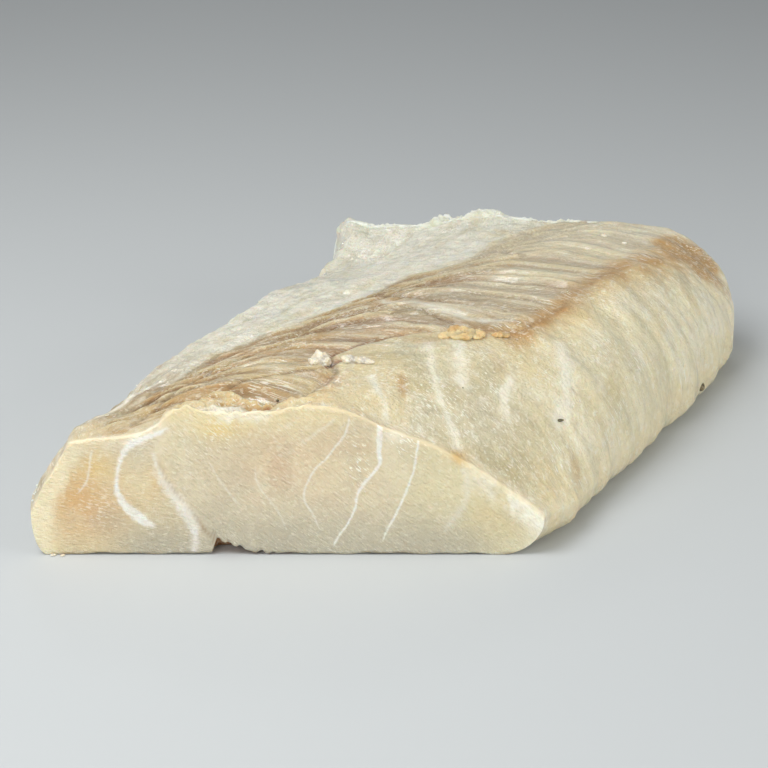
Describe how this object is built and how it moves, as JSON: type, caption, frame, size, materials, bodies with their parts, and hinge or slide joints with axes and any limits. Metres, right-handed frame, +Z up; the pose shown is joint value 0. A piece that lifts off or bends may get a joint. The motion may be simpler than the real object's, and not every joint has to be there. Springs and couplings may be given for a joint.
{
  "type": "desalted cod loin",
  "caption": "Thick boneless loin of desalted cod with a clean slanted cut at one end, a browned upper side and a pale flank, resting flat on its underside.",
  "frame": {"origin": "centre of the footprint's box, on the surface that the loin rests on", "axes": "+Y along the length of the loin, away from the clean cut; +Z up"},
  "size_m": [0.1148, 0.188, 0.0352],
  "materials": {
    "cod_flesh": "moist, slightly translucent"
  },
  "bodies": {
    "root": {"cod_loin": "cod_flesh"}
  },
  "joints": []
}
